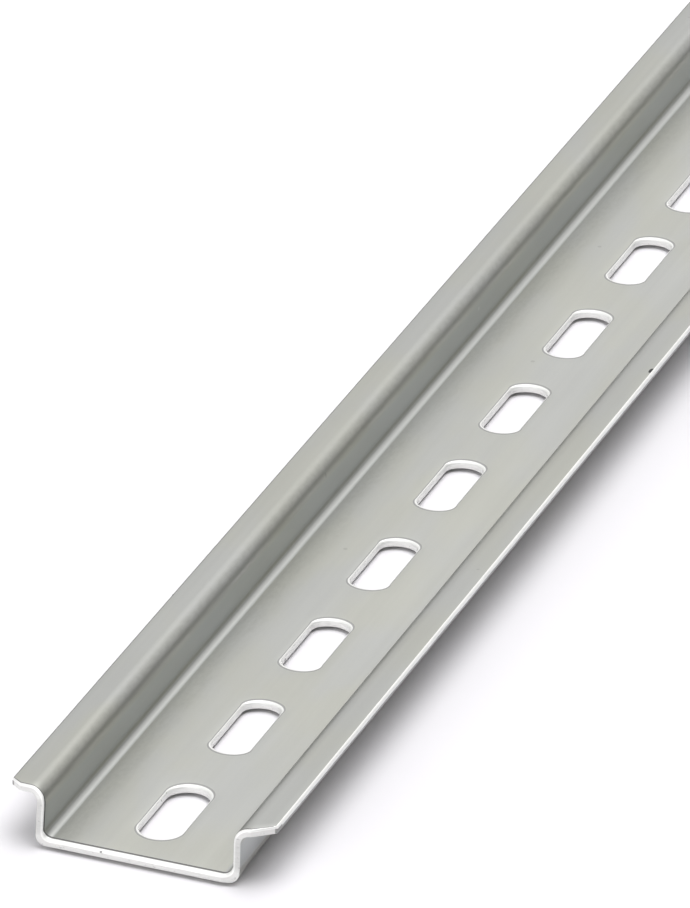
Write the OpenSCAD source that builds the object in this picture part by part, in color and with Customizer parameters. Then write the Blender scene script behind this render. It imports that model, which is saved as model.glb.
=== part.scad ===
// Perforated top-hat mounting rail, roll-formed from one strip of zinc-plated steel.
// The rail lies open side up: X runs along it, Y across it, and Z = 0 is its underside.

/* [Section] */
// Length that the rail is cut to
rail_l = 1000; // [200:25:2000]
// Width across both flanges
rail_w = 35; // [33:0.5:40]
// Width across the outside of the two walls
channel_w = 27; // [20:0.5:29]
// Depth from the underside to the top of the flanges
rail_h = 7.5; // [7:0.5:15]
// Thickness of the strip
sheet_t = 1; // [0.8:0.1:1.5]
// Inside radius of the four bends
bend_r = 1.1; // [0.3:0.1:1.5]
// Rounding left by slitting along the strip's two long edges
slit_r = 0.15; // [0.05:0.05:0.3]
// How far the outer corners of the flanges are set back from the rail's ends
flange_setback = 2.8; // [0.5:0.1:5]

/* [Slots] */
// Distance between the centres of neighbouring slots
slot_pitch = 25; // [20:1:40]
// Distance from the rail's end to the centre of the first slot
first_slot = 13.3; // [10:0.1:20]
// Length of a slot
slot_l = 15; // [10:0.5:17]
// Width of a slot
slot_w = 5.2; // [4.2:0.1:6]
// Radius of the arcs that close a slot's ends
slot_end_r = 3; // [3:0.1:4.5]
// Width of the fully rounded slot at each end of the rail
end_slot_w = 5.8; // [4.2:0.1:7]

/* [Hidden] */
$fn = 64;
// Outside radius of a bend
bend_outer_r = bend_r + sheet_t;
// How far a cutting tool runs past a face
overrun = 1;
// Least distance from the centre of the last slot to the rail's far end
end_margin = slot_l / 2 + 4;
// Slots are punched one pitch apart, as many as leave the end margin free
slot_count = floor((rail_l - first_slot - end_margin) / slot_pitch) + 1;
zinc_colour = [0.78, 0.78, 0.76];

function slot_x(i) = first_slot + i * slot_pitch - rail_l / 2;
function is_end_slot(i) = i == 0 || i == slot_count - 1;

// A quarter ring of strip in the quadrant of +X and +Y, about the bend's centre
module bend() {
    intersection() {
        difference() {
            circle(r = bend_outer_r);
            circle(r = bend_r);
        }
        square(bend_outer_r);
    }
}

// The outer end of a flange, where slitting leaves both corners of the strip rounded
module flange_section() {
    root = channel_w / 2 + bend_r;
    flat_w = rail_w / 2 - root - slit_r;
    translate([root, rail_h - sheet_t]) {
        square([flat_w, sheet_t]);
        translate([flat_w, slit_r])
            square([slit_r, sheet_t - 2 * slit_r]);
        for (z = [slit_r, sheet_t - slit_r])
            translate([flat_w, z])
                circle(r = slit_r);
    }
}

// Half of the section, from the middle of the base out to the edge of one flange
module half_section() {
    base_bend_y = channel_w / 2 - bend_outer_r;
    flange_bend_y = channel_w / 2 + bend_r;
    square([base_bend_y, sheet_t]);
    translate([base_bend_y, bend_outer_r])
        mirror([0, 1]) bend();
    translate([channel_w / 2 - sheet_t, bend_outer_r])
        square([sheet_t, rail_h - 2 * bend_outer_r]);
    translate([flange_bend_y, rail_h - bend_outer_r])
        mirror([1, 0]) bend();
    flange_section();
}

module section() {
    half_section();
    mirror([1, 0]) half_section();
}

// A slot with straight sides, closed at each end by an arc of radius end_r
module slot_outline(width, end_r) {
    arc_x = slot_l / 2 - end_r;
    intersection() {
        square([slot_l, width], center = true);
        union() {
            square([2 * arc_x, width], center = true);
            for (x = [-arc_x, arc_x])
                translate([x, 0]) circle(r = end_r);
        }
    }
}

// Plan of what the shear takes off one corner of a flange, from the middle of its bend outwards
module corner_cut_outline() {
    start_y = channel_w / 2 + bend_r / 2;
    flange_w = rail_w / 2 - start_y;
    polygon([
        [rail_l / 2, start_y],
        [rail_l / 2 + overrun, start_y],
        [rail_l / 2 + overrun, rail_w / 2 + overrun],
        [rail_l / 2 - flange_setback * (1 + overrun / flange_w), rail_w / 2 + overrun]
    ]);
}

module corner_cuts() {
    for (end = [0, 1], side = [0, 1])
        mirror([end, 0, 0]) mirror([0, side, 0])
            linear_extrude(rail_h + overrun) corner_cut_outline();
}

module slot(i) {
    translate([slot_x(i), 0, -overrun])
        linear_extrude(sheet_t + 2 * overrun)
            if (is_end_slot(i)) slot_outline(end_slot_w, end_slot_w / 2);
            else slot_outline(slot_w, slot_end_r);
}

module rail() {
    color(zinc_colour)
        difference() {
            rotate([90, 0, 90])
                linear_extrude(rail_l, center = true) section();
            for (i = [0 : slot_count - 1]) slot(i);
            corner_cuts();
        }
}

rail();
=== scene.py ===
"""Perforated top-hat mounting rail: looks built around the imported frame."""
import math

import bpy
import numpy as np
from mathutils import Matrix, Vector


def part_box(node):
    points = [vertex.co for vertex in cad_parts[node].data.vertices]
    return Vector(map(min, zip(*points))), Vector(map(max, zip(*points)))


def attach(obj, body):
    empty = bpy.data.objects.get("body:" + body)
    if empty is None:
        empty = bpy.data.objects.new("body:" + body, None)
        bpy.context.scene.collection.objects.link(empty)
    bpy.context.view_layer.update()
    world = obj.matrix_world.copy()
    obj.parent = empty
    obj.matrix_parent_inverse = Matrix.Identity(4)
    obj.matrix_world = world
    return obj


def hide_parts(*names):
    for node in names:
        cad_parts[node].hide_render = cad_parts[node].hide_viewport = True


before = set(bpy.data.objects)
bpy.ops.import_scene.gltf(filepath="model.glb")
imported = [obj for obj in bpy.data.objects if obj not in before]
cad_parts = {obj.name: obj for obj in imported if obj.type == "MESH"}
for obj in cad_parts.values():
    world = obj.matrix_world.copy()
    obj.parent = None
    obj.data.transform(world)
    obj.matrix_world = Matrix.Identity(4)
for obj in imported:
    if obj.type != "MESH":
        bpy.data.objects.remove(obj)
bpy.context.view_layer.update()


# ---- Camera ------------------------------------------------------------------------------------
# A long lens a good way before the near end of the rail, above it and to its right, so that the
# rail runs away up the picture and out at its top right corner.

MM = 0.001
low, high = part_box("rail")
CAMERA_AT = Vector((low.x - 1351.70 * MM, -514.36 * MM, 759.31 * MM))
CAMERA_TARGET = Vector((low.x + 118.68 * MM, 16.65 * MM, 0))
CAMERA_ROLL = math.radians(1.2529)
CAMERA_LENS = 524.84
SENSOR_WIDTH = 36
CLIP_END = 100

camera = bpy.data.objects.new("camera", bpy.data.cameras.new("camera"))
camera.data.lens = CAMERA_LENS
camera.data.sensor_width = SENSOR_WIDTH
camera.data.clip_end = CLIP_END
aim = (CAMERA_TARGET - CAMERA_AT).to_track_quat("-Z", "Y").to_matrix()
turned = (aim @ Matrix.Rotation(CAMERA_ROLL, 3, "Z")).to_quaternion()
camera.matrix_world = Matrix.LocRotScale(CAMERA_AT, turned, None)
bpy.context.scene.collection.objects.link(camera)
bpy.context.scene.camera = camera


# ---- Rail --------------------------------------------------------------------------------------
# One strip of 1 mm steel: its slots are punched in the flat, four bends are rolled along it,
# it is sheared to length, and the whole of it is then zinc-plated.

# the section: overall sizes, thickness, width across the walls, and inside radius of the bends
LENGTH = high.x - low.x
WIDTH = high.y - low.y
HEIGHT = high.z - low.z
SHEET = 1.0 * MM
CHANNEL = 27.0 * MM
BEND = 1.1 * MM

# the slots: spacing, centre of the first, least distance from the last one's centre to the end,
# size at the waist, radius of the ends, and radius where these meet the sides
PITCH = 25.0 * MM
FIRST_SLOT = 13.3 * MM
LAST_MARGIN = 11.5 * MM
SLOT_LENGTH = 14.8 * MM
SLOT_WIDTH = 5.2 * MM
SLOT_END = 3.0 * MM
SLOT_CORNER = 1.9 * MM
END_SLOT_WIDTH = 5.8 * MM

# the sheared ends: how far in the shear has pulled the strip, how much it has squashed the base
# bends, and the share by which the rim of the cut is tighter above the base
CUT_REACH = 9.0 * MM
SQUASH = 0.35 * MM
TIGHTER = 0.55

# stretches of half the strip, measured out from its middle along the middle of its thickness
BEND_MID = BEND + SHEET / 2
BEND_RUN = BEND_MID * math.pi / 2
BASE_END = CHANNEL / 2 - BEND - SHEET
WALL_START = BASE_END + BEND_RUN
WALL_END = WALL_START + HEIGHT - 2 * (BEND + SHEET)
FLANGE_START = WALL_END + BEND_RUN
STRIP_END = FLANGE_START + WIDTH / 2 - CHANNEL / 2 - BEND

# how far the shear's cut lies behind the nominal end, at stations across the strip, from right to
# left as one looks in at either end
CUT_STATIONS = [-STRIP_END, -19.9 * MM, -WALL_END, -WALL_START, -12.6 * MM, -BASE_END,
                BASE_END, WALL_START, WALL_END, 19.5 * MM, 21.2 * MM, STRIP_END]
CUT_SETBACK = np.array([2.9, 0.6, 0.42, 0.4, 0.1, -0.3, 0.3, 0.42, 0.75, 1.35, 1.45, 2.6]) * MM


def roll_form(x, s, t):
    """Bends the flat strip: s is the distance across it and t the height in its thickness, 0 to 1.

    The heading turns up by a quarter turn at the base bend and back at the flange bend, and the
    middle of the sheet is the sum of each stretch's own run: straight, sine or one less cosine. Near
    the ends the base bends are squashed and the cut is set back, and above the base the last of the
    strip is drawn out towards it, so that the rim of the cut is tighter there."""
    side = np.sign(s)
    out = np.abs(s)
    up = np.clip((out - BASE_END) / BEND_MID, 0, math.pi / 2)
    back = np.clip((out - WALL_END) / BEND_MID, 0, math.pi / 2)
    y = np.minimum(out, BASE_END) + np.maximum(out - FLANGE_START, 0)
    y = y + BEND_MID * (np.sin(up) + 1 - np.cos(back))
    z = SHEET / 2 + np.clip(out - WALL_START, 0, WALL_END - WALL_START)
    z = z + BEND_MID * (1 - np.cos(up) + np.sin(back))
    heading = up - back
    near_end = np.clip((np.abs(x) - LENGTH / 2 + CUT_REACH) / CUT_REACH, 0, 1)
    lift = (t - 0.5) * SHEET - SQUASH * near_end * np.sin(2 * up) ** 2 * (1 - t)
    y = y - lift * np.sin(heading)
    z = z + lift * np.cos(heading)
    setback = np.interp(-np.sign(x) * s, CUT_STATIONS, CUT_SETBACK)
    setback = setback - TIGHTER * np.sin(up) ** 2 * (LENGTH / 2 - np.abs(x))
    return np.stack([x - np.sign(x) * setback * near_end, side * y, z], axis=-1)


def edge_profile(roll_width, roll_height, flare_width, flare_height):
    """Inset and thickness height down a sheared edge: a quarter ellipse where the tool went in,
    a straight burnished band with one row midway, and a fracture that leans back to the far face
    in two steps. Widths are lengths, and heights are shares of the thickness."""
    a = np.linspace(0, math.pi / 2, 5)
    midway = 0.6
    foot = 0.04
    inset = np.concatenate([roll_width * (1 - np.sin(a)), [0, 0, 0.4 * flare_width, flare_width]])
    height = np.concatenate([1 - roll_height * (1 - np.cos(a)), [midway, flare_height, foot, 0]])
    return inset, height


def slot_outline(width, end_r, corner_r, side_steps, end_steps):
    """Points and outward normals round a slot, anticlockwise from its lower right corner: end arcs
    of radius end_r about centres on the axis, joined to the straight sides by small corner arcs."""
    arc_x = SLOT_LENGTH / 2 - end_r
    reach = math.sqrt(max((end_r - corner_r) ** 2 - (width / 2 - corner_r) ** 2, 0))
    turn = math.atan2(width / 2 - corner_r, reach)
    arc_run = end_r * turn
    corner_run = corner_r * (math.pi / 2 - turn)
    run = np.linspace(-arc_run - corner_run, arc_run + corner_run, end_steps + 1)
    over = np.maximum(np.abs(run) - arc_run, 0)
    angle = np.sign(run) * (np.minimum(np.abs(run), arc_run) / end_r + over / corner_r)
    on_arc = over <= 0
    cx = np.where(on_arc, arc_x, arc_x + reach)
    cy = np.where(on_arc, 0, np.sign(run) * (width / 2 - corner_r))
    r = np.where(on_arc, end_r, corner_r)
    end = np.stack([cx + r * np.cos(angle), cy + r * np.sin(angle)], axis=-1)
    end_n = np.stack([np.cos(angle), np.sin(angle)], axis=-1)
    side_x = np.linspace(arc_x + reach, -arc_x - reach, side_steps + 1)
    side = np.stack([side_x, np.full_like(side_x, width / 2)], axis=-1)
    side_n = np.tile([0.0, 1.0], (side_steps + 1, 1))
    half = np.concatenate([end[:-1], side[:-1]])
    half_n = np.concatenate([end_n[:-1], side_n[:-1]])
    return np.concatenate([half, -half]), np.concatenate([half_n, -half_n])


# grids of strip coordinates, each with its finish, which are welded into one mesh further down
SKIN = 0
CUT = 1
patches = []


def add_patch(x, s, t, finish, closed=False, flip=False):
    """Keeps one grid, rows along the first axis and columns along the second. A closed one repeats
    its first column at the end, and flip turns its faces over."""
    if closed:
        x, s, t = (np.concatenate([g, g[:, :1]], axis=1) for g in (x, s, t))
    patches.append((x, s, t, finish, flip))


# the rims of the end cuts, of the slit long edges and of the slots, where a slot's sides are
# rolled over less than its ends by SIDE_ROLL
end_inset, end_height = edge_profile(0.95 * MM, 0.30, 0.05 * MM, 0.3)
tip_inset, tip_height = edge_profile(0.26 * MM, 0.18, 0.06 * MM, 0.12)
slot_inset, slot_height = edge_profile(0.85 * MM, 0.25, 0.05 * MM, 0.35)
SIDE_ROLL = 0.36

# each slot stands in its own cell of the base, a pitch long and twice BAND across
BAND = 7.0 * MM
SIDE_STEPS = 10
END_STEPS = 20
slot_count = int((LENGTH - FIRST_SLOT - LAST_MARGIN) / PITCH + 1.0001)
slot_x = FIRST_SLOT + PITCH * np.arange(slot_count) - LENGTH / 2
band_lines = np.linspace(-BAND, BAND, END_STEPS + 1)


def cell_lines(inset):
    """Stations along each slot's own cell, up to a cut that lies the inset behind the rail's end."""
    edges = np.concatenate([[inset - LENGTH / 2], slot_x[:-1] + PITCH / 2, [LENGTH / 2 - inset]])
    return np.linspace(edges[:-1], edges[1:], SIDE_STEPS + 1, axis=1)


def along(inset):
    """The stations of all the cells in one row, with each line that two cells share taken once."""
    cells = cell_lines(inset)
    return np.append(cells[:, :-1].ravel(), cells[-1, -1])


# the upper and the lower face of the sheet: height, row of the edge profiles, winding
FACES = ((1.0, 0, False), (0.0, -1, True))

# rows of faces, as shares of the way from a slot's rim out to the edge of its cell
CELL_ROWS = np.array([0, 0.3, 0.65, 1])[:, None, None]

for i, centre in enumerate(slot_x):
    rounded = i in (0, slot_count - 1)
    width = END_SLOT_WIDTH if rounded else SLOT_WIDTH
    end_r = width / 2 if rounded else SLOT_END
    rim, rim_n = slot_outline(width, end_r, SLOT_CORNER, SIDE_STEPS, END_STEPS)
    rim = rim + [centre, 0]
    frame_s = np.concatenate([band_lines[:-1], np.full(SIDE_STEPS, BAND),
                              band_lines[:0:-1], np.full(SIDE_STEPS, -BAND)])
    roll = SIDE_ROLL + (1 - SIDE_ROLL) * np.abs(rim_n[:, :1])
    wall = rim[None] + slot_inset[:, None, None] * (rim_n * roll)[None]
    depth = np.repeat(slot_height[:, None], len(rim), 1)
    add_patch(wall[..., 0], wall[..., 1], depth, CUT, closed=True, flip=True)
    for height, row, flip in FACES:
        line = cell_lines(end_inset[row])[i]
        frame_x = np.concatenate([np.full(END_STEPS, line[-1]), line[:0:-1],
                                  np.full(END_STEPS, line[0]), line[:-1]])
        face = wall[row] * (1 - CELL_ROWS) + np.stack([frame_x, frame_s], axis=-1) * CELL_ROWS
        level = np.full(face.shape[:2], height)
        add_patch(face[..., 0], face[..., 1], level, SKIN, closed=True, flip=flip)

# lines along the rest of the strip, with one close on either side of each bend to keep it crisp
SUPPORT = 0.12 * MM
BASE_BEND_LINES = 9
FLANGE_BEND_LINES = 10
out_lines = np.concatenate([
    [BAND, (BAND + BASE_END) / 2, BASE_END - SUPPORT],
    np.linspace(BASE_END, WALL_START, BASE_BEND_LINES),
    [WALL_START + SUPPORT, WALL_END - SUPPORT],
    np.linspace(WALL_END, FLANGE_START, FLANGE_BEND_LINES),
    [FLANGE_START + SUPPORT, (FLANGE_START + STRIP_END) / 2]])
for side in (-1, 1):
    for height, row, flip in FACES:
        across = np.append(out_lines, STRIP_END - tip_inset[row])
        grid_x, grid_s = np.meshgrid(along(end_inset[row]), side * across, indexing="ij")
        add_patch(grid_x, grid_s, np.full_like(grid_x, height), SKIN, flip=(side < 0) != flip)
    rim_x = np.stack([along(inset) for inset in end_inset])
    rim_s = np.repeat(side * (STRIP_END - tip_inset)[:, None], rim_x.shape[1], 1)
    rim_t = np.repeat(tip_height[:, None], rim_x.shape[1], 1)
    rim_t[:, 0] = end_height
    rim_t[:, -1] = end_height
    add_patch(rim_x, rim_s, rim_t, CUT, flip=side > 0)
cut_lines = np.concatenate([[-STRIP_END], -out_lines[::-1], band_lines[1:-1], out_lines, [STRIP_END]])
for end in (-1, 1):
    rim_x = np.repeat(end * (LENGTH / 2 - end_inset)[:, None], len(cut_lines), 1)
    rim_s = np.repeat(cut_lines[None], len(end_inset), 0)
    rim_s[:, 0] = tip_inset - STRIP_END
    rim_s[:, -1] = STRIP_END - tip_inset
    rim_t = np.repeat(end_height[:, None], len(cut_lines), 1)
    add_patch(rim_x, rim_s, rim_t, CUT, flip=end < 0)

# the weld's steps to the metre along and across the strip, and to its thickness
WELD_STEPS = [1e6, 1e6, 1e4]
SHARP_ANGLE = math.radians(40)


def strip_mesh(name):
    """Welds the patches where their strip coordinates meet, and bends the result into the rail."""
    points = []
    quads = []
    finishes = []
    start = 0
    for x, s, t, finish, flip in patches:
        rows, cols = x.shape
        at = start + np.arange(rows * cols).reshape(rows, cols)
        quad = np.stack([at[:-1, :-1], at[1:, :-1], at[1:, 1:], at[:-1, 1:]], axis=-1).reshape(-1, 4)
        quads.append(quad[:, ::-1] if flip else quad)
        finishes.append(np.full(len(quad), finish))
        points.append(np.stack([x.ravel(), s.ravel(), t.ravel()], axis=-1))
        start += rows * cols
    points = np.concatenate(points)
    key = np.round(points * WELD_STEPS).astype(np.int64)
    _, first, weld = np.unique(key, axis=0, return_index=True, return_inverse=True)
    flat = points[first]
    quads = weld.reshape(-1)[np.concatenate(quads)]
    made = bpy.data.meshes.new(name)
    made.from_pydata(roll_form(*flat.T).tolist(), [], quads.tolist())
    strip = made.attributes.new("strip", "FLOAT_VECTOR", "POINT")
    strip.data.foreach_set("vector", flat.ravel())
    made.polygons.foreach_set("material_index", np.concatenate(finishes))
    made.polygons.foreach_set("use_smooth", np.ones(len(quads), bool))
    made.set_sharp_from_angle(angle=SHARP_ANGLE)
    return made


rail = bpy.data.objects.new("rail_skin", strip_mesh("rail_skin"))
bpy.context.scene.collection.objects.link(rail)


def build(tree, kind, inputs=(), **settings):
    """Adds a node, sets its properties, and links or fills the inputs given by name or number."""
    made = tree.nodes.new(kind)
    for name, value in settings.items():
        setattr(made, name, value)
    for socket, value in dict(inputs).items():
        if isinstance(value, bpy.types.NodeSocket):
            tree.links.new(value, made.inputs[socket])
        else:
            made.inputs[socket].default_value = value
    return made


def calc(tree, operation, a, b=0.0):
    """One sum on two values, or on the first alone where the operation takes only one."""
    return build(tree, "ShaderNodeMath", {0: a, 1: b}, operation=operation).outputs[0]


def product(tree, first, *others):
    """All the values multiplied together."""
    total = first
    for value in others:
        total = calc(tree, "MULTIPLY", total, value)
    return total


def weighted(tree, base, *terms):
    """The base value plus each term's value times its weight."""
    total = base
    for value, weight in terms:
        total = calc(tree, "ADD", calc(tree, "MULTIPLY", value, weight), total)
    return total


def lowered(tree, value, mask, share):
    """The value times one less the mask's share, so that a full mask takes that share away."""
    return calc(tree, "MULTIPLY", value, weighted(tree, 1.0, (mask, -share)))


def ramp(tree, value, start, end, low=0.0, high=1.0):
    """Low before start, high past end, and smooth between."""
    return build(tree, "ShaderNodeMapRange", {"Value": value, "From Min": start, "From Max": end,
                                              "To Min": low, "To Max": high},
                 interpolation_type="SMOOTHSTEP").outputs["Result"]


def stretch(tree, vector, factors):
    """The vector with each of its parts times its own factor."""
    return build(tree, "ShaderNodeVectorMath", {0: vector, 1: factors}, operation="MULTIPLY").outputs[0]


def noise(tree, vector, cycles, detail=2.0, rough=0.5):
    """Noise with about so many cycles a metre in each direction, and none where cycles are 0."""
    return build(tree, "ShaderNodeTexNoise", {"Vector": stretch(tree, vector, cycles), "Scale": 1.0,
                                              "Detail": detail, "Roughness": rough}).outputs["Fac"]


def new_group(name, inputs, outputs):
    """A node group with its named sockets, and the two ends that its nodes hang between."""
    tree = bpy.data.node_groups.new(name, "ShaderNodeTree")
    for way, sockets in (("INPUT", inputs), ("OUTPUT", outputs)):
        for label, kind in sockets.items():
            tree.interface.new_socket(name=label, in_out=way, socket_type=kind)
    return tree, tree.nodes.new("NodeGroupInput").outputs, tree.nodes.new("NodeGroupOutput").inputs


def placed(tree, group, inputs):
    """The outputs of a node group that is placed with its own values."""
    return build(tree, "ShaderNodeGroup", inputs, node_tree=group).outputs


FLOAT = "NodeSocketFloat"
VECTOR = "NodeSocketVector"

# satin zinc: clouds where the bath took differently, and fine lines drawn along the strip by the rolls
zinc_tone, given, result = new_group("zinc_tone", {"Strip": VECTOR},
                                     {"Tone": FLOAT, "Warmth": FLOAT, "Roughness": FLOAT, "Height": FLOAT})
clouds = noise(zinc_tone, given["Strip"], (28, 90, 0), 4.0, 0.6)
streaks = noise(zinc_tone, given["Strip"], (10, 420, 0), 3.0, 0.6)
lines = noise(zinc_tone, given["Strip"], (9, 1500, 0))
grain = noise(zinc_tone, given["Strip"], (1800, 3600, 600), 3.0, 0.6)
tone = weighted(zinc_tone, 0.84, (clouds, 0.14), (streaks, 0.10), (lines, 0.06), (grain, 0.06))
zinc_tone.links.new(tone, result["Tone"])
warm = noise(zinc_tone, given["Strip"], (45, 120, 0))
zinc_tone.links.new(ramp(zinc_tone, warm, 0.35, 0.65), result["Warmth"])
zinc_tone.links.new(weighted(zinc_tone, -0.06, (lines, 0.06), (grain, 0.06)), result["Roughness"])
zinc_tone.links.new(weighted(zinc_tone, 0.0, (lines, 0.6), (grain, 0.4)), result["Height"])

# a band of the strip between two distances from its middle, faded over Soft at both sides
band_mask, given, result = new_group("band_mask", {"Value": FLOAT, "From": FLOAT, "To": FLOAT, "Soft": FLOAT},
                                     {"Mask": FLOAT})
rise = ramp(band_mask, given["Value"], calc(band_mask, "SUBTRACT", given["From"], given["Soft"]),
            calc(band_mask, "ADD", given["From"], given["Soft"]))
fall = ramp(band_mask, given["Value"], calc(band_mask, "SUBTRACT", given["To"], given["Soft"]),
            calc(band_mask, "ADD", given["To"], given["Soft"]), 1.0, 0.0)
band_mask.links.new(calc(band_mask, "MULTIPLY", rise, fall), result["Mask"])

# sparse round spots: the given share of cells carry a spot that reaches Size cells from its centre
spots, given, result = new_group("spots", {"Vector": VECTOR, "Scale": FLOAT, "Size": FLOAT, "Share": FLOAT},
                                 {"Mask": FLOAT})
cells = build(spots, "ShaderNodeTexVoronoi", {"Vector": given["Vector"], "Scale": given["Scale"]})
inside = ramp(spots, calc(spots, "DIVIDE", cells.outputs["Distance"], given["Size"]), 0.6, 1.0, 1.0, 0.0)
draw = build(spots, "ShaderNodeSeparateColor", {0: cells.outputs["Color"]}).outputs[0]
chosen = calc(spots, "LESS_THAN", draw, given["Share"])
spots.links.new(calc(spots, "MULTIPLY", inside, chosen), result["Mask"])


def band(tree, value, start, end, soft):
    """The band mask of a value between start and end."""
    return placed(tree, band_mask, {"Value": value, "From": start, "To": end, "Soft": soft})["Mask"]


def spotted(tree, vector, scale, size, share):
    """The spots' mask, with scale cells to the metre."""
    return placed(tree, spots, {"Vector": vector, "Scale": scale, "Size": size, "Share": share})["Mask"]


def start_material(name, metallic):
    """An empty material with its shader, the strip coordinates and the distance from the middle."""
    made = bpy.data.materials.new(name)
    made.use_nodes = True
    tree = made.node_tree
    shader = tree.nodes["Principled BSDF"]
    shader.inputs["Metallic"].default_value = metallic
    strip = build(tree, "ShaderNodeAttribute", attribute_name="strip").outputs["Vector"]
    split = build(tree, "ShaderNodeSeparateXYZ", {0: strip}).outputs
    return made, tree, shader, strip, split, calc(tree, "ABSOLUTE", split[1])


def mixed(tree, mask, a, b):
    """Colour a where the mask is 0, and b where it is 1."""
    return build(tree, "ShaderNodeMix", {"Factor": mask, 6: a, 7: b}, data_type="RGBA").outputs[2]


def shaded(tree, colour, tone):
    """The colour times a grey of the given tone."""
    grey = build(tree, "ShaderNodeCombineColor", {0: tone, 1: tone, 2: tone}).outputs[0]
    return build(tree, "ShaderNodeMix", {"Factor": 1.0, 6: colour, 7: grey},
                 data_type="RGBA", blend_type="MULTIPLY").outputs[2]


BUMP_HEIGHT = 0.02 * MM


def finish_material(tree, shader, colour, roughness, height, bump):
    """Feeds the shader with the colour, the roughness, and the height as a bump."""
    tree.links.new(colour, shader.inputs["Base Color"])
    tree.links.new(roughness, shader.inputs["Roughness"])
    bumped = build(tree, "ShaderNodeBump", {"Height": height, "Distance": BUMP_HEIGHT, "Strength": bump})
    tree.links.new(bumped.outputs["Normal"], shader.inputs["Normal"])


ZINC_COOL = (0.535, 0.54, 0.52, 1)
ZINC_WARM = (0.54, 0.542, 0.495, 1)
# darker colour for dull zinc and for painted shade
ZINC_DULL_AND_SHADE = (0.34, 0.34, 0.31, 1)
# lighter colour of the base bends' hollows: painted highlight
ZINC_HOLLOW_HIGHLIGHT = (0.55, 0.555, 0.535, 1)
# cooler, darker colour of the walls: painted shade
ZINC_WALL_SHADED = (0.49, 0.51, 0.505, 1)
NICK_COLOUR = (0.03, 0.03, 0.03, 1)
FLANGE_SHADE = 0.87
SKIN_ROUGHNESS = 0.33

# bands of the skin, each with its start and end from the middle of the strip and its softness
FLANGE_BEND_BAND = (WALL_END + 0.9 * MM, FLANGE_START - 0.6 * MM, 0.6 * MM)
# band of painted shade on the base beside the walls
FOOT_SHADE_BAND = (8.8 * MM, BASE_END + 0.3 * MM, 2.6 * MM)
# band of painted shade in the crease at the foot of each wall
LIP_SHADE_BAND = (WALL_START - 0.65 * MM, WALL_START - 0.05 * MM, 0.12 * MM)
# band of painted shade over the walls
WALL_SHADE_BAND = (WALL_START, WALL_END, 0.5 * MM)
# band of painted highlight in the hollow of each base bend
HOLLOW_BAND = (BASE_END + 0.05 * MM, WALL_START - 0.75 * MM, 0.1 * MM)

zinc_skin, tree, shader, strip, split, out = start_material("zinc_skin", 1.0)
surface = placed(tree, zinc_tone, {"Strip": strip})
colour = mixed(tree, surface["Warmth"], ZINC_COOL, ZINC_WARM)
# over the flange bends the zinc is darker, duller and blotchy
blotches = ramp(tree, noise(tree, strip, (700, 1500, 0), 3.0), 0.38, 0.62, 0.4, 1.0)
bend_dull = product(tree, band(tree, out, *FLANGE_BEND_BAND), blotches)
# and beside the base bends it is darker and duller too, in broad uneven patches: painted shade from the
# walls, more on the left, over real dull mottling
patchy = ramp(tree, noise(tree, strip, (75, 260, 0), 5.0, 0.65), 0.36, 0.64, 0.5, 1.0)
freckled = ramp(tree, noise(tree, strip, (900, 1600, 0), 3.0, 0.6), 0.35, 0.65, 0.78, 1.0)
on_left = ramp(tree, split[1], -1 * MM, 1 * MM, 0.25, 1.0)
foot_shade_and_dull = product(tree, band(tree, out, *FOOT_SHADE_BAND), patchy, freckled, on_left)
# a line of painted shade in the crease where each wall leaves the hollow of its bend
lip_shade = band(tree, out, *LIP_SHADE_BAND)
# the dull zinc and the painted shade are mixed in as one darker colour, which also roughens the finish
dull_and_shade = weighted(tree, 0.0, (bend_dull, 0.28), (foot_shade_and_dull, 0.74), (lip_shade, 0.4))
colour = mixed(tree, dull_and_shade, colour, ZINC_DULL_AND_SHADE)
# the walls are given a cooler, darker colour than the base: painted shade
colour = mixed(tree, band(tree, out, *WALL_SHADE_BAND), colour, ZINC_WALL_SHADED)
# the hollow of each base bend is given a lighter colour and a little less roughness: a painted highlight
upper = calc(tree, "GREATER_THAN", split[2], 0.5)
hollow_highlight = product(tree, band(tree, out, *HOLLOW_BAND), upper)
colour = mixed(tree, hollow_highlight, colour, ZINC_HOLLOW_HIGHLIGHT)
# the flanges are a shade darker than the base, and all of the skin has small pits and bright specks
pits = spotted(tree, strip, 190.0, 0.07, 0.22)
specks = spotted(tree, strip, 120.0, 0.05, 0.16)
tone = product(tree, surface["Tone"], ramp(tree, out, WALL_END, FLANGE_START, 1.0, FLANGE_SHADE))
tone = weighted(tree, lowered(tree, tone, pits, 0.16), (specks, 0.22))
colour = shaded(tree, colour, tone)
# one dark nick in the rim of the right flange, drawn out along it
NICK_AT = (143.3 * MM - LENGTH / 2, 0.4 * MM - STRIP_END, 1)
NICK_EDGE = 0.22 * MM
NICK_FADE = 0.34 * MM
to_nick = build(tree, "ShaderNodeVectorMath", {0: strip, 1: NICK_AT}, operation="SUBTRACT").outputs[0]
to_nick = stretch(tree, to_nick, (0.4, 1, 0))
nick_distance = build(tree, "ShaderNodeVectorMath", {0: to_nick}, operation="LENGTH").outputs["Value"]
nick = product(tree, ramp(tree, nick_distance, NICK_EDGE, NICK_FADE, 1.0, 0.0), upper)
colour = mixed(tree, nick, colour, NICK_COLOUR)
roughness = calc(tree, "ADD", surface["Roughness"], SKIN_ROUGHNESS)
roughness = weighted(tree, roughness, (dull_and_shade, 0.2), (hollow_highlight, -0.04))
height = weighted(tree, surface["Height"], (pits, -0.8))
finish_material(tree, shader, colour, roughness, height, 0.12)

# the sheared faces: a burnished band over a torn one, under thin bright plate, with drag lines
CUT_PLATE = (0.88, 0.88, 0.86, 1)
CUT_METALLIC = 0.25
CUT_ROUGHNESS = 0.42
END_DEPTH = 4 * MM
WALL_CUT_BAND = (WALL_START - 0.4 * MM, WALL_END + 0.6 * MM, 0.4 * MM)
SLIT_DEPTH = 0.35 * MM

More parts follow.
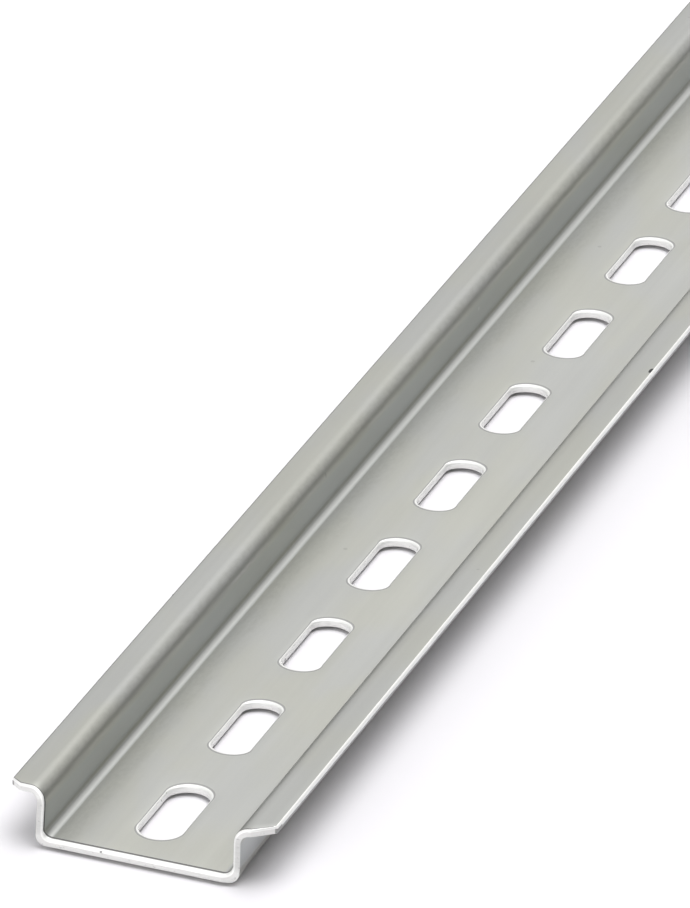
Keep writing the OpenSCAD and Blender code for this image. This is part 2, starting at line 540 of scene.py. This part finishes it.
sheared_zinc, tree, shader, strip, split, out = start_material("sheared_zinc", CUT_METALLIC)
where = build(tree, "ShaderNodeTexCoord").outputs["Object"]
surface = placed(tree, zinc_tone, {"Strip": strip})
drag = noise(tree, where, (500, 500, 5200), 3.0, 0.6)
tear = ramp(tree, noise(tree, where, (1500, 1500, 2600), 3.0, 0.65), 0.25, 0.42, 1.0, 0.0)
pits = spotted(tree, where, 560.0, 0.15, 0.16)
# the burnished band is deeper in the slots than at the ends, and ragged in both
ragged = noise(tree, where, (120, 120, 120), 4.0, 0.6)
from_middle = calc(tree, "ABSOLUTE", split[0])
at_end = ramp(tree, from_middle, LENGTH / 2 - END_DEPTH, LENGTH / 2 - END_DEPTH + 0.5 * MM)
burnished_to = weighted(tree, 0.27, (at_end, 0.22), (ragged, 0.30))
torn = ramp(tree, calc(tree, "SUBTRACT", split[2], burnished_to), -0.05, 0.05, 1.0, 0.0)
on_wall = band(tree, out, *WALL_CUT_BAND)
tone = weighted(tree, 0.92, (drag, 0.16), (on_wall, -0.14), (product(tree, tear, torn), -0.22))
tone = calc(tree, "SUBTRACT", tone, product(tree, torn, weighted(tree, 0.02, (at_end, 0.16))))
# along the long edges the lower, torn part is darker: painted shade under the rim, on a rough fracture
slit_fracture_and_shade = product(tree, ramp(tree, out, STRIP_END - SLIT_DEPTH, STRIP_END - SLIT_DEPTH + 0.1 * MM), torn)
tone = lowered(tree, tone, slit_fracture_and_shade, 0.6)
tone = lowered(tree, tone, pits, 0.75)
# a fine dark line where the surface starts to turn down into the cut, a painted dark reflection:
# broader beside the walls, weaker round the slots, and none along the right rim
line = ramp(tree, weighted(tree, split[2], (on_wall, 0.05)), 0.965, 0.985, 0.0, 0.85)
line = product(tree, line, calc(tree, "GREATER_THAN", split[1], 0.5 * MM - STRIP_END))
in_slot = lowered(tree, calc(tree, "LESS_THAN", out, BAND), at_end, 1.0)
tone = lowered(tree, tone, lowered(tree, line, in_slot, 0.26), 1.0)
colour = shaded(tree, CUT_PLATE, tone)
roughness = weighted(tree, CUT_ROUGHNESS, (torn, 0.12))
height = calc(tree, "ADD", drag, surface["Height"])
finish_material(tree, shader, colour, roughness, height, 0.25)

rail.data.materials.append(zinc_skin)
rail.data.materials.append(sheared_zinc)
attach(rail, "root")
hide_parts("rail")


# ---- Floor and light ---------------------------------------------------------------------------
# A plain white floor just below the rail, which lies on its burrs, under a soft light overhead and
# a second one behind it. The flat faces mirror a third, low over the rail's far end. Two more
# fill in, one from the left and one low in front, which lights the cut near end.

FLOOR_REACH = 40.0
FLOOR_GAP = 0.5 * MM
FLOOR_WHITE = (0.90, 0.885, 0.915, 1)

floor_mesh = bpy.data.meshes.new("floor")
corners = [(x * FLOOR_REACH, y * FLOOR_REACH, 0) for x, y in ((-1, -1), (1, -1), (1, 1), (-1, 1))]
floor_mesh.from_pydata(corners, [], [(0, 1, 2, 3)])
floor = bpy.data.objects.new("floor", floor_mesh)
floor.location.z = -FLOOR_GAP
bpy.context.scene.collection.objects.link(floor)
paper = bpy.data.materials.new("white_floor")
paper.use_nodes = True
shader = paper.node_tree.nodes["Principled BSDF"]
shader.inputs["Base Color"].default_value = FLOOR_WHITE
shader.inputs["Roughness"].default_value = 1
shader.inputs["Specular IOR Level"].default_value = 0
floor_mesh.materials.append(paper)

world = bpy.data.worlds.new("studio")
bpy.context.scene.world = world
world.use_nodes = True
sky_tree = world.node_tree
direction = build(sky_tree, "ShaderNodeTexCoord").outputs["Generated"]


def glow_towards(azimuth, elevation, edge, core, strength):
    """A soft round patch of sky: full inside core degrees of its centre and nothing beyond edge."""
    azimuth = math.radians(azimuth)
    elevation = math.radians(elevation)
    flat = math.cos(elevation)
    centre = (flat * math.cos(azimuth), flat * math.sin(azimuth), math.sin(elevation))
    facing = build(sky_tree, "ShaderNodeVectorMath", {0: direction, 1: centre}, operation="DOT_PRODUCT")
    edge = math.cos(math.radians(edge))
    core = math.cos(math.radians(core))
    return ramp(sky_tree, facing.outputs["Value"], edge, core, 0.0, strength)


# the patches, on a dim sky
DIM = 0.16
overhead = glow_towards(-80, 81, 34, 5, 3.9)
behind = glow_towards(4, 60, 29, 5, 1.0)
far_end = glow_towards(6, 25, 49, 24, 0.71)
left = glow_towards(115, 22, 38, 8, 0.75)
front = glow_towards(165, 9, 45, 15, 2.0)
total = weighted(sky_tree, DIM, (overhead, 1), (behind, 1), (far_end, 1), (left, 1), (front, 1))
sky = sky_tree.nodes["Background"]
sky_tree.links.new(total, sky.inputs["Strength"])
sky.inputs["Color"].default_value = (1, 1, 1, 1)

bpy.context.scene.view_settings.view_transform = "Standard"
